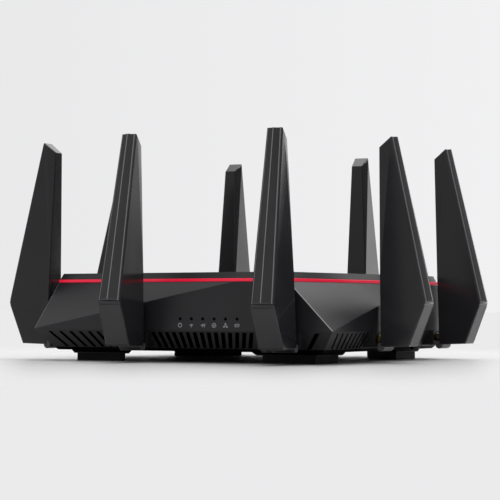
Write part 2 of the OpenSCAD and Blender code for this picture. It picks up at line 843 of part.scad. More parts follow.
module jack_nuts() {
    color([0.8, 0.62, 0.25]) for (i = [1:8]) at_antenna(i)
        translate([-blade_gap - nut_t - 0.1, 0, jack_z]) rotate([0, 90, 0]) difference() {
            cylinder(d = nut_flats / cos(30), h = nut_t, $fn = 6);
            translate([0, 0, -1]) cylinder(r = stud_r + run_gap, h = nut_t + 2, $fn = 48);
        }
}

// Short leads from the connectors' tails down to their sockets on the board
module coax_leads() {
    start = -blade_gap - seat_depth - 2 - tail_len;
    color([0.1, 0.1, 0.1]) for (i = [1:8]) at_antenna(i) translate([0, 0, jack_z]) {
        rod_x(lead_r, start - lead_run, start);
        translate([start - lead_run, 0, 0]) sphere(r = lead_r, $fn = 48);
        translate([start - lead_run, 0, board_z - jack_z]) {
            cylinder(r = lead_r, h = jack_z - board_z, $fn = 48);
            cylinder(r = 1.5, h = 1.2, $fn = 48);
        }
    }
}

// Antennas ----------------------------------------------------------------------------------

module antenna_shell(i) {
    inner = inset(blade, blade_wall);
    lean = atan2(knee_depth - top_depth, blade_outer_z - knee_z);
    face_len = norm([knee_depth - top_depth, blade_outer_z - knee_z]);
    color([0.13, 0.13, 0.14]) at_blade(i) difference() {
        union() {
            difference() {
                convex(concat(blade_points(blade, blade_bevel),
                              blade_points(inset(blade, blade_bevel), 0)));
                convex(blade_points(inner, blade_wall));
            }
            for (s = [-1, 1]) translate([0, 0, pin_z])
                rod_y(barrel_r, s > 0 ? slot_half : -ear_out, s > 0 ? ear_out : -slot_half);
        }
        translate([-barrel_r - 1, -slot_half, pin_z - barrel_r - 1])
            cube([barrel_r + 1 + slot_depth, 2 * slot_half, slot_top_z - pin_z + barrel_r + 1]);
        translate([0, 0, pin_z]) rod_y(pin_r + run_gap, -ear_out - 1, ear_out + 1);
        translate([knee_depth, 0, knee_z]) rotate([0, -lean, 0])
            translate([-blade_wall * 2, -(top_outer_t - 5) / 2, 10])
                cube([blade_wall * 3, top_outer_t - 5, face_len - 20]);
    }
}

// The outer cover: two long facets that meet in a ridge, which runs from end to end
module antenna_cover(i) {
    lean = atan2(knee_depth - top_depth, blade_outer_z - knee_z);
    face_len = norm([knee_depth - top_depth, blade_outer_z - knee_z]);
    low = 1.2;
    top = face_len - 0.6;
    edge = 0.8;
    function side(t, d, x) = let (w = (knee_t + (top_outer_t - knee_t) * t / face_len) / 2 - blade_bevel)
        [for (s = [-1, 1]) [x, s * (w - d), t]];
    color([0.17, 0.17, 0.18]) at_blade(i) translate([knee_depth, 0, knee_z]) rotate([0, -lean, 0])
        convex(concat(side(low, 0, 0), side(top, 0, 0), side(low, edge, edge),
                      side(top, edge, edge), [[ridge_h, 0, low], [ridge_h, 0, top]]));
}

module antenna_radiator(i) {
    low = slot_top_z + 4;
    top = blade_inner_z - 22;
    color([0.7, 0.45, 0.25]) at_blade(i) {
        translate([blade_wall, -0.5, low]) cube([10, 1, top - low]);
        translate([blade_wall + 2.5, -0.8, low + 8]) cube([5, 1.6, (top - low) * 0.35]);
        translate([blade_wall + 3.5, -0.8, low + 14 + (top - low) * 0.35])
            cube([3, 1.6, (top - low) * 0.4]);
    }
}

module antenna_knuckle(i) {
    color([0.35, 0.35, 0.36]) at_antenna(i) difference() {
        union() {
            translate([0, 0, jack_z]) rod_x(sleeve_r, sleeve_u, sleeve_end);
            translate([sleeve_u, -knuckle_w / 2, pin_z + 0.6])
                cube([sleeve_end - sleeve_u, knuckle_w, jack_z - pin_z - 0.6]);
            translate([0, 0, pin_z]) {
                rod_y(barrel_r, -knuckle_w / 2, knuckle_w / 2);
                rod_y(pin_r, -ear_out + 0.2, ear_out - 0.2);
            }
        }
        translate([0, 0, jack_z]) rod_x(stud_r + run_gap, -barrel_r - 1, stud_reach + side_gap);
    }
}

bottom_case();
top_cover();
trim_ring();
top_grille();
feet();
case_screws();
main_board();
board_screws();
board_parts();
processor();
thermal_pad();
heatsink();
radio_cans();
lan_sockets();
wan_socket();
usb_rear();
usb_side();
power_inlet();
button_switches();
power_button();
reset_button();
wps_button();
wifi_button();
led_button();
light_pipes();
antenna_jacks();
jack_nuts();
coax_leads();
for (i = [1:8]) {
    antenna_shell(i);
    antenna_cover(i);
    antenna_radiator(i);
    antenna_knuckle(i);
}
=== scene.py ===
import json
import math

import bmesh
import bpy
from bpy.props import FloatProperty, FloatVectorProperty, PointerProperty
from mathutils import Matrix, Vector


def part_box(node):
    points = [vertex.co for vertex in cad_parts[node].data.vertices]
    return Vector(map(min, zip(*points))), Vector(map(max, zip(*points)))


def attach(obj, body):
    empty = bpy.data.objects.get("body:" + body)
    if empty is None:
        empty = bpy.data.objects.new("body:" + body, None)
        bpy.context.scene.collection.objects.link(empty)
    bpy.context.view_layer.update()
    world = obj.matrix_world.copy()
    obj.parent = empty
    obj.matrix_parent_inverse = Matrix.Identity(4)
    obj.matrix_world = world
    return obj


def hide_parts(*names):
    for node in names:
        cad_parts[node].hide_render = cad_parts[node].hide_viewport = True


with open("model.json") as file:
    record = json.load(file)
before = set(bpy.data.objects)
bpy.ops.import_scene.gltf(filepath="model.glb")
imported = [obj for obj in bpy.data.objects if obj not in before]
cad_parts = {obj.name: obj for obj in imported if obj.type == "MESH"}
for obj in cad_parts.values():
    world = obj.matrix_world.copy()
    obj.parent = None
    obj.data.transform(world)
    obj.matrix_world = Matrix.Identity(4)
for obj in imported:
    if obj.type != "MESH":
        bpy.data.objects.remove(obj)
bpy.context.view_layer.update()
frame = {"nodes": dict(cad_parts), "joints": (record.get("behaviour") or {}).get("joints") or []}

bl_info = {
    "name": "Wireless router",
    "version": (1, 0, 0),
    "blender": (4, 5, 0),
    "location": "3D View > Sidebar > Router",
    "description": "Dresses a desktop wireless router with eight blade antennas",
    "category": "Add Mesh",
}

MM = 0.001
ANTENNAS = range(1, 9)
BAND = ((0.1115, 0.0105), (0.1225, 0.024))  # the vent band's foot and top: out and up
SWING = 15  # degrees that a blade tilts out from upright
SHOULDER_CORNER = (0.088, -0.122, 0.059)  # the end of the front's upright face
EAR = 0.0092  # from a hinge's middle to the outer face of each ear
LIGHT_START, LIGHT_STEP = 0.002, 0.0092  # the first indicator light, and from one to the next
ICON_Z = 0.0274  # height of the icons under the lights
ICON_DRAWN = 3.2  # width, in millimetres, that the icons are drawn at
# The near-black sheets of painted shade behind the vents, in millimetres: each one's side, start
# and end along it
SHADE_SHEETS = ((0, -106, 106), (1, -106, 106), (2, 98, 106), (3, -106, -28), (3, 66, 106))
SHEET_FOOT, SHEET_TOP = 10.9, 22.6  # their heights
SHEET_BACK, SHEET_THICK = 3.6, 0.3  # from the vent band's face to a sheet, and through it
SHEET_WIDENS = 1.08  # how much wider a sheet is at its top
SOCKETS = (-0.013, 0.0045, 0.0185, 0.0325, 0.0465)  # wide network socket, then the local ones
PLATE_FOOT, PLATE_KNEE = (22, 0, 0), (35.4, 0, 31.3)  # ends of a blade's lower plate, in mm
RIM = 0.0012  # points no further in than this are on a piece's straight sides
CUT = 0.04  # points no further in than this are on its outline, with its cut corners
NEAR = 1e-5  # points closer than this are in one place
JOINTS = {joint["name"]: joint for joint in frame["joints"]}

# The stage: metres, and degrees where a line says so
CAMERA_PLACE = (0.65573, -1.34933, 0.03912)
CAMERA_TURN = (25.970, 1.769, 0.228)  # degrees: yaw, pitch and roll
LAMP_PLACE, LAMP_AIM, LAMP_SIZE = (0, 0.3, 1.7), (0, 0.1, 0), 1.6
FLOOR_FADE = (0.28, 0.55)  # how far out the floor starts to turn into the backdrop, and ends
WINDOW_LEFT = (-52, -42)  # degrees: bearings where the window starts and is full
WINDOW_RIGHT = (28.5, 25.5)  # degrees: bearings where it ends and is still full
WINDOW_FLARE = 26  # degrees that the window reaches further right where it is high
FLARE_RISE = (0.15, 0.42)  # how steeply one looks up there, from 0 level to 1 upright
CEILING_RISE = (0.25, 0.95)  # the same for the ceiling's edge and its full brightness
FILL_SIDE, FILL_SOFT = (-0.5, -0.86, 0.05), (0.2, 0.95)  # where the fill comes from, and its edge
WASH_SIDE, WASH_REACH = (0.899, 0.438, 0), 0.13  # across the backdrop, and how far to each end
WASH_LEVEL = (0.985, 1.055)  # painted brightness of the backdrop at its two ends


# Sizes and colours that a user may change ----------------------------------------------


def length(name, description, default, low, high):
    """A length's property, from values in millimetres."""
    return FloatProperty(
        name=name, description=description, default=default * MM, min=low * MM, max=high * MM,
        precision=5, unit="LENGTH", subtype="DISTANCE",
    )


def strength(name, description, default, high):
    """A property for how much light something gives."""
    return FloatProperty(name=name, description=description, default=default, min=0, max=high)


def colour(name, description, default):
    """A colour's property."""
    return FloatVectorProperty(
        name=name, description=description, default=default, min=0.0, max=1.0, size=3,
        subtype="COLOR",
    )


class RouterColours(bpy.types.PropertyGroup):
    case: colour("Case", "Base and port panels", (0.014, 0.0145, 0.0165))
    cover: colour("Cover", "Faceted top cover", (0.0145, 0.0145, 0.0175))
    crown: colour("Crown", "Rim and mesh of the grille", (0.024, 0.024, 0.026))
    trim: colour("Trim", "Line round the body", (0.80, 0.012, 0.05))
    blade: colour("Blade", "Antenna shells", (0.021, 0.021, 0.0235))
    plate: colour("Cover plate", "Outer covers of the antennas", (0.032, 0.032, 0.034))
    knuckle: colour("Knuckle", "Antenna hinges", (0.007, 0.007, 0.008))
    rubber: colour("Rubber", "Feet", (0.006, 0.006, 0.0065))
    gold: colour("Gold", "Plated studs, nuts and contacts", (0.85, 0.56, 0.22))
    steel: colour("Steel", "Screws, shields and socket shells", (0.56, 0.56, 0.58))
    yellow: colour("Yellow", "Local network sockets", (0.75, 0.42, 0.03))
    blue: colour("Blue", "Wide network socket and tongue", (0.02, 0.09, 0.42))
    cap: colour("Hinge caps", "Ends of the hinge pins", (0.09, 0.09, 0.095))
    # near black: partly the board's own solder mask, partly painted shade for the board seen
    # through the vents
    board: colour("Board", "Solder mask", (0.002, 0.004, 0.0035))
    print: colour("Print", "Icons beside the lights", (0.5, 0.5, 0.52))


class RouterSizes(bpy.types.PropertyGroup):
    facet_edge: length("Facet edge", "Rounding of the cover's creases", 0.5, 0.1, 1.0)
    case_edge: length("Case edge", "Rounding of the base's edges", 0.4, 0.1, 1.0)
    blade_edge: length("Blade edge", "Rounding of the antennas' edges", 0.35, 0.1, 0.6)
    icon: length("Icon", "Width of an icon under a light", 3.6, 2.0, 6.0)


class RouterStage(bpy.types.PropertyGroup):
    backdrop: colour("Backdrop", "Colour behind the router", (0.83, 0.83, 0.84))
    floor: colour("Floor", "Colour of the floor", (0.64, 0.64, 0.645))
    window: strength("Window", "Brightness of the tall window behind", 1.45, 5)
    sky: strength("Ceiling", "Brightness overhead", 0.7, 5)
    room: strength("Room", "Brightness of the dark side", 0.1, 2)
    fill: strength("Fill", "Brightness of the soft light from the front", 0.3, 2)
    lamp: strength("Lamp", "Power of the lamp overhead, in watts", 11, 200)
    lens: FloatProperty(name="Lens", description="Focal length", default=137.93, min=20, max=400,
                        subtype="DISTANCE_CAMERA")


# Selecting and shaping -----------------------------------------------------------------


def focus(obj):
    """Makes obj the active and only selected object."""
    bpy.ops.object.select_all(action="DESELECT")
    obj.select_set(True)
    bpy.context.view_layer.objects.active = obj
    return obj


def edit(obj):
    """Starts work on obj's mesh."""
    focus(obj)
    bpy.ops.object.mode_set(mode="EDIT")


def leave():
    """Ends work on the mesh."""
    bpy.ops.object.mode_set(mode="OBJECT")


def pick(obj, kind, test):
    """Selects, in edit mode, the faces or edges that pass the test, and counts them."""
    bpy.ops.mesh.select_mode(type=kind)
    bpy.ops.mesh.select_all(action="DESELECT")
    mesh = bmesh.from_edit_mesh(obj.data)
    found = [part for part in (mesh.faces if kind == "FACE" else mesh.edges) if test(part)]
    for part in found:
        part.select = True
    mesh.select_flush_mode()
    bmesh.update_edit_mesh(obj.data)
    return len(found)


def pick_all():
    """Selects the whole mesh in edit mode."""
    bpy.ops.mesh.select_all(action="SELECT")


def face_outwards():
    """Turns every face of the mesh outwards, in edit mode."""
    pick_all()
    bpy.ops.mesh.normals_make_consistent(inside=False)


def edit_faces(obj, test, what):
    """Opens obj's mesh with the faces that pass the test selected; there must be some."""
    edit(obj)
    if not pick(obj, "FACE", test):
        raise RuntimeError(f"{obj.name} has no faces {what}")


def settle(obj):
    """Puts the object's place, turn and size into its mesh."""
    focus(obj)
    bpy.ops.object.transform_apply(location=True, rotation=True, scale=True)
    return obj


def cad_copy(node, name):
    """A copy of a CAD node's mesh, with its loose triangles merged into whole faces."""
    obj = bpy.data.objects.new(name, frame["nodes"][node].data.copy())
    bpy.context.scene.collection.objects.link(obj)
    obj.data.materials.clear()
    edit(obj)
    pick_all()
    bpy.ops.mesh.remove_doubles(threshold=NEAR)
    pick_all()
    bpy.ops.mesh.dissolve_limited(angle_limit=math.radians(0.6))
    leave()
    return obj


def outermost(spot):
    """How far a point is from the body's middle, towards the nearest side."""
    return max(abs(spot.x), abs(spot.y))


def copy_of(obj, name, matrix=None):
    """A copy of a finished piece with a mesh of its own, moved inside the mesh."""
    twin = obj.copy()
    twin.data = obj.data.copy()
    twin.name = name
    bpy.context.scene.collection.objects.link(twin)
    if matrix is not None:
        twin.data.transform(matrix)
    return twin


def crease(line, degrees, length_mm=0):
    """Whether an edge bends by more than some degrees, and is longer than some millimetres."""
    return (len(line.link_faces) == 2 and line.calc_face_angle(0) > math.radians(degrees)
            and line.calc_length() > length_mm * MM)


def round_edges(obj, test, width, segments=2, clamp=True):
    """Rounds the edges that pass the test."""
    edit(obj)
    if not pick(obj, "EDGE", test):
        raise RuntimeError(f"{obj.name} has no edges to round")
    bpy.ops.mesh.bevel(offset=width, offset_type="OFFSET", segments=segments, profile=0.5,
                       affect="EDGES", clamp_overlap=clamp)
    leave()
    return obj


def finish_piece(obj, body, material, nodes=()):
    """Settles a piece's finish (None keeps what it has), body and the nodes it replaces."""
    if material:
        obj.data.materials.clear()
        obj.data.materials.append(material)
    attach(obj, body)
    if nodes:
        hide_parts(*nodes)
    return obj


def dress(node, material):
    """Gives a CAD node that stays in sight its finish."""
    mesh = frame["nodes"][node].data
    mesh.materials.clear()
    mesh.materials.append(material)


def axes_at(axes, origin):
    """The matrix that puts X, Y and Z along three axes, from an origin."""
    place = Matrix.Identity(4)
    for column, axis in enumerate(axes):
        place.col[column] = (*axis, 0)
    place.translation = origin
    return place


def antenna_place(number):
    """A blade's own axes about its hinge pin: X outwards, Z up, Y to the right from outside."""
    tilt = JOINTS[f"antenna{number}_tilt"]
    pin = Vector(tilt["pos_m"])
    out = Vector((pin.x, 0, 0)) if abs(pin.x) > 0.12 else Vector((0, pin.y, 0))
    out.normalize()
    up = Vector((0, 0, 1))
    lean = math.radians(tilt["range_deg"][1] - SWING)
    return axes_at((out, up.cross(out), up), pin) @ Matrix.Rotation(-lean, 4, "Y")


def side(k):
    """Turns a piece modelled on the front to side k: right, rear and left are 1, 2 and 3."""
    return Matrix.Rotation(k * math.pi / 2, 4, "Z")


def block(name, low, high, edge, segments=2):
    """A block between two corners, in millimetres, with rounded edges."""
    low, high = Vector(low) * MM, Vector(high) * MM
    bpy.ops.object.select_all(action="DESELECT")
    bpy.ops.mesh.primitive_cube_add(size=1, location=(low + high) / 2)
    obj = bpy.context.active_object
    obj.name = name
    obj.scale = high - low
    settle(obj)
    if edge:
        round_edges(obj, lambda line: True, edge * MM, segments)
    return obj


def turned(name, rings, sides=32):
    """A turned piece along Z, drawn up ring by ring from (height, radius) in millimetres."""
    height, radius = rings[0]
    bpy.ops.object.select_all(action="DESELECT")
    bpy.ops.mesh.primitive_circle_add(vertices=sides, radius=radius * MM, fill_type="NGON",
                                      location=(0, 0, height * MM))
    obj = settle(bpy.context.active_object)
    obj.name = name
    edit(obj)
    pick_all()
    for (z, r), (next_z, next_r) in zip(rings, rings[1:]):
        bpy.ops.mesh.extrude_region_move(
            TRANSFORM_OT_translate={"value": (0, 0, (next_z - z) * MM)})
        bpy.ops.transform.resize(value=(next_r / r, next_r / r, 1),
                                 center_override=(0, 0, next_z * MM))
    face_outwards()
    leave()
    return obj


def even(obj, degrees=30):
    """Smooth shading that keeps the broad faces flat."""
    focus(obj)
    bpy.ops.object.shade_smooth_by_angle(angle=math.radians(degrees))
    bpy.ops.object.modifier_add(type="WEIGHTED_NORMAL")
    obj.modifiers[-1].keep_sharp = True
    bpy.ops.object.modifier_apply(modifier=obj.modifiers[-1].name)
    return obj


def off_line(spot, start, end):
    """Distance from a point to the line between two others."""
    run = end - start
    part = max(0, min(1, (spot - start).dot(run) / run.length_squared))
    return (spot - start - run * part).length


def two_finishes(obj, test, plain, other):
    """Gives a piece one finish, and the faces that pass the test another."""
    obj.data.materials.clear()
    obj.data.materials.append(plain)
    obj.data.materials.append(other)
    edit_faces(obj, test, f"for {other.name}")
    obj.active_material_index = 1
    bpy.ops.object.material_slot_assign()
    leave()


def painted_highlight_strips(obj, lines, plain, bright, place=Matrix.Identity(4)):
    """Gives the rounded strips along some of a piece's edges a lighter finish: a painted
    highlight.
    """
    two_finishes(obj, lambda f: any(
        off_line(place @ f.calc_center_median(), start, end) < 0.0005 for start, end in lines),
        plain, bright)


def join(name, parts):
    """Joins parts into the first one."""
    bpy.ops.object.select_all(action="DESELECT")
    for part in parts:
        part.select_set(True)
    bpy.context.view_layer.objects.active = parts[0]
    bpy.ops.object.join()
    parts[0].name = name
    return parts[0]


def inset_top(obj, area, thickness, depth):
    """Insets the level faces over some square millimetres, and moves them up or down."""
    edit_faces(obj, lambda f: f.normal.z > 0.99 and f.calc_area() > area * MM * MM, "to inset")
    bpy.ops.mesh.inset(thickness=thickness * MM, depth=depth * MM)
    leave()


# Finishes ------------------------------------------------------------------------------


def node(tree, kind, inputs=None, **settings):
    """Adds a node. Its inputs are values or other nodes' outputs."""
    made = tree.nodes.new("ShaderNode" + kind)
    for name, value in settings.items():
        setattr(made, name, value)
    for name, value in (inputs or {}).items():
        if isinstance(value, bpy.types.NodeSocket):
            tree.links.new(value, made.inputs[name])
        else:
            made.inputs[name].default_value = value
    return made


def maths(tree, operation, *values):
    """The result of a Math node."""
    return node(tree, "Math", dict(enumerate(values)), operation=operation).outputs[0]


def dot(tree, first, second):
    """The dot product of two vectors."""
    return node(tree, "VectorMath", {0: first, 1: second},
                operation="DOT_PRODUCT").outputs["Value"]


def noise(tree, place, scale, detail):
    """Noise from 0 to 1."""
    return node(tree, "TexNoise", {"Vector": place, "Scale": scale,
                                   "Detail": detail}).outputs["Fac"]


def mapped(tree, value, start, end, low, high, kind="LINEAR"):
    """Maps start..end to low..high, and no further."""
    return node(tree, "MapRange", {"Value": value, "From Min": start, "From Max": end,
                                   "To Min": low, "To Max": high},
                interpolation_type=kind).outputs["Result"]


def spread(tree, value, low, high):
    """Maps a noise's middle range to low..high."""
    return mapped(tree, value, 0.3, 0.7, low, high)


def start_finish(name):
    """A new material: its tree, its shader and Object coordinates."""
    material = bpy.data.materials.new(name)
    material.use_nodes = True
    tree = material.node_tree
    tree.nodes.clear()
    shader = node(tree, "BsdfPrincipled")
    node(tree, "OutputMaterial", {"Surface": shader.outputs["BSDF"]})
    place = node(tree, "TexCoord").outputs["Object"]
    return material, tree, shader, place


def raised(tree, shader, strength, distance, height):
    """Gives a finish relief, with its full depth in metres."""
    bump = node(tree, "Bump", {"Strength": strength, "Distance": distance, "Height": height})
    tree.links.new(bump.outputs["Normal"], shader.inputs["Normal"])


def toned(tree, base, factor):
    """The base colour, made lighter or darker by a factor."""
    linked = isinstance(base, bpy.types.NodeSocket)
    return node(tree, "VectorMath", {0: base if linked else (*base,), "Scale": factor},
                operation="SCALE").outputs["Vector"]


def retoned(tree, shader, factor):
    """Makes a finished colour lighter or darker by a factor."""
    base = shader.inputs["Base Color"].links[0].from_socket
    tree.links.new(toned(tree, base, factor), shader.inputs["Base Color"])


def moulded(name, base, roughness, grain, level=0.5, tone=0.1):
    """Moulded plastic: a fine grain from the mould, and slow changes of tone and gloss.

    The level is its shine, and the tone is how far its colour changes either way.
    """
    material, tree, shader, place = start_finish(name)
    slow, fine = noise(tree, place, 28, 3), noise(tree, place, 2400, 2)
    tree.links.new(toned(tree, base, spread(tree, slow, 1 - tone, 1 + tone)),
                   shader.inputs["Base Color"])
    tree.links.new(spread(tree, slow, roughness - 0.03, roughness + 0.03),
                   shader.inputs["Roughness"])
    raised(tree, shader, grain, 0.04 * MM, fine)
    shader.inputs["Specular IOR Level"].default_value = level
    return material


def metal(name, base, roughness, stretch=(1, 1, 1)):
    """Metal with fine lines drawn out along one axis."""
    material, tree, shader, place = start_finish(name)
    drawn = node(tree, "Mapping", {"Vector": place, "Scale": stretch}).outputs["Vector"]
    lines, slow = noise(tree, drawn, 900, 4), noise(tree, place, 60, 2)
    tree.links.new(toned(tree, base, spread(tree, slow, 0.92, 1.06)), shader.inputs["Base Color"])
    tree.links.new(spread(tree, lines, roughness - 0.06, roughness + 0.08),
                   shader.inputs["Roughness"])
    raised(tree, shader, 0.3, 0.02 * MM, lines)
    shader.inputs["Metallic"].default_value = 1.0
    return material


def circuit(name, base, copper):
    """Solder mask over copper tracks, with plated pads."""
    material, tree, shader, place = start_finish(name)
    tracks = node(tree, "TexBrick", {"Vector": place, "Scale": 160, "Mortar Size": 0.06,
                                     "Mortar Smooth": 0.1, "Brick Width": 0.9,
                                     "Row Height": 0.28}).outputs["Fac"]
    cells = node(tree, "TexVoronoi", {"Vector": place, "Scale": 420},
                 distance="CHEBYCHEV").outputs["Distance"]
    pads = maths(tree, "LESS_THAN", cells, 0.16)
    mask = node(tree, "Mix", {0: tracks, 6: (*base, 1), 7: (*[1.9 * c for c in base], 1)},
                data_type="RGBA").outputs[2]
    both = node(tree, "Mix", {0: pads, 6: mask, 7: (*copper, 1)}, data_type="RGBA").outputs[2]
    tree.links.new(both, shader.inputs["Base Color"])
    tree.links.new(pads, shader.inputs["Metallic"])
    raised(tree, shader, 0.4, 0.08 * MM, tracks)
    shader.inputs["Roughness"].default_value = 0.32
    return material


def soften(material, radius):
    """Rounds a finish's corners in the shading."""
    tree = material.node_tree
    corner = node(tree, "Bevel", {"Radius": radius}, samples=4)
    for bump in tree.nodes:
        if bump.bl_idname == "ShaderNodeBump":
            tree.links.new(corner.outputs["Normal"], bump.inputs["Normal"])
    return material


def painted_edge_highlights(material, radius, gain):
    """Paints highlights along a finish's edges: its colour grows lighter where the rounded
    corners bend.
    """
    tree = material.node_tree
    shader = tree.nodes["Principled BSDF"]
    corner = node(tree, "Bevel", {"Radius": radius}, samples=6)
    flat = node(tree, "NewGeometry").outputs["True Normal"]
    bend = dot(tree, corner.outputs["Normal"], flat)
    # painted highlight: lighter by up to the gain where the bevel's normal turns from the face
    retoned(tree, shader, mapped(tree, bend, 0.996, 0.95, 1.0, gain))
    return material


def outwards(tree, place):
    """The distance from the body's middle to a point's side of the square."""
    apart = node(tree, "VectorMath", {0: place}, operation="ABSOLUTE").outputs["Vector"]
    parts = node(tree, "SeparateXYZ", {"Vector": apart})
    return maths(tree, "MAXIMUM", parts.outputs["X"], parts.outputs["Y"])


def shaded_inside(material):
    """The case's finish turns to shade in its slots and on its inner walls."""
    tree = material.node_tree
    shader = tree.nodes["Principled BSDF"]
    place = node(tree, "TexCoord").outputs["Object"]
    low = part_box("bottom_case")[0]
    height = node(tree, "SeparateXYZ", {"Vector": place}).outputs["Z"]
    (foot_out, foot_up), (top_out, top_up) = BAND
    skin = mapped(tree, height, foot_up, top_up, foot_out, top_out)
    depth = maths(tree, "SUBTRACT", skin, outwards(tree, place))
    deep = mapped(tree, depth, 0.03 * MM, 0.15 * MM, 1.0, 0.05)
    under = maths(tree, "LESS_THAN", height, low.z + 0.8 * MM)
    shade = maths(tree, "MAXIMUM", deep, under)
    retoned(tree, shader, shade)
    shine = shader.inputs["Specular IOR Level"]
    tree.links.new(maths(tree, "MULTIPLY", shade, shine.default_value), shine)
    return material


def threaded(name, base, roughness, pitch):
    """Plated metal with a thread cut round it, along each side's own axis."""
    material, tree, shader, place = start_finish(name)
    turns = maths(tree, "MULTIPLY", outwards(tree, place), 2 * math.pi / pitch)
    raised(tree, shader, 0.8, 0.25 * MM, maths(tree, "SINE", turns))
    slow = noise(tree, place, 200, 2)
    tree.links.new(toned(tree, base, spread(tree, slow, 0.85, 1.1)), shader.inputs["Base Color"])
    shader.inputs["Metallic"].default_value = 1.0
    shader.inputs["Roughness"].default_value = roughness
    return material


def finishes():
    """Every finish by name, made once."""
    kept = bpy.data.materials
    if "case_plastic" in kept:
        return kept
    c = bpy.context.scene.router_colours
    for name, base, roughness, grain, *shine_and_tone in (
        ("case_plastic", c.case, 0.42, 0.6),
        ("cover_plastic", c.cover, 0.34, 0.4),
        ("crown_plastic", c.crown, 0.36, 0.4),
        ("trim_lacquer", c.trim, 0.3, 0.1, 0.5, 0.03),
        ("plate_satin", c.plate, 0.34, 0.3),
        # painted highlights: light grey finishes for the rounded strips on the cover's hips and
        # the antennas' ridges
        ("cover_edge", (0.42, 0.41, 0.42), 0.3, 0.1, 0.5, 0.05),
        ("plate_edge", (0.26, 0.26, 0.27), 0.3, 0.1, 0.5, 0.05),
        ("blade_plastic", c.blade, 0.15, 0.12),
        ("plate_plastic", c.plate, 0.3, 0.3),
        ("knuckle_plastic", c.knuckle, 0.34, 0.3),
        ("cap_plastic", c.cap, 0.4, 0.3),
        ("foot_rubber", c.rubber, 0.7, 0.8, 0.3),
        ("button_plastic", [2 * v for v in c.case], 0.4, 0.4),
        ("socket_black", c.case, 0.45, 0.3),
        ("socket_yellow", c.yellow, 0.4, 0.3, 0.5, 0.04),
        ("socket_blue", c.blue, 0.4, 0.3, 0.5, 0.04),
        ("print_grey", c.print, 0.5, 0.1, 0.5, 0.04),
        # painted shade: a near-black finish for the sheets behind the vents and the trim's inward
        # faces
        ("cloth_black", (0.0008, 0.0008, 0.0008), 0.9, 0.8, 0.02),
        ("chip_black", (0.01, 0.01, 0.011), 0.5, 0.6),
        ("pad_grey", (0.32, 0.36, 0.42), 0.7, 0.8),
        ("lead_black", (0.012, 0.012, 0.012), 0.45, 0.3),
        ("lens_smoke", (0.0006, 0.0006, 0.0008), 0.5, 0.0, 0.05),
        ("light_green", (0.2, 0.75, 0.25), 0.3, 0.1, 0.5, 0.05),
        ("light_amber", (0.85, 0.4, 0.05), 0.3, 0.1, 0.5, 0.05),
    ):
        moulded(name, base, roughness, grain, *shine_and_tone)
    soften(shaded_inside(kept["case_plastic"]), 0.0004)
    soften(kept["crown_plastic"], 0.0004)
    soften(kept["knuckle_plastic"], 0.0003)
    # painted highlights along the edges of the blades and the lower plates
    painted_edge_highlights(kept["blade_plastic"], 0.0004, 3)
    painted_edge_highlights(kept["plate_plastic"], 0.0006, 4)
    # painted light: the trim's lacquer glows faintly in its own red, so the line stays bright in
    # shade; it is no lamp
    glow = kept["trim_lacquer"].node_tree.nodes["Principled BSDF"]
    glow.inputs["Emission Color"].default_value = (*c.trim, 1)
    glow.inputs["Emission Strength"].default_value = 0.45
    threaded("gold_thread", c.gold, 0.28, 0.0008)
    metal("gold_plate", c.gold, 0.26)
    metal("nut_metal", (0.09, 0.075, 0.055), 0.36)
    metal("steel_bright", c.steel, 0.3)
    metal("sink_metal", (0.62, 0.63, 0.65), 0.34, (1, 0.05, 1))
    metal("shield_metal", (0.6, 0.6, 0.6), 0.3, (0.1, 1, 1))
    circuit("board_mask", c.board, (0.16, 0.13, 0.08))
    circuit("radiator_board", (0.01, 0.03, 0.012), (0.85, 0.45, 0.25))
    return kept


# Pieces --------------------------------------------------------------------------------


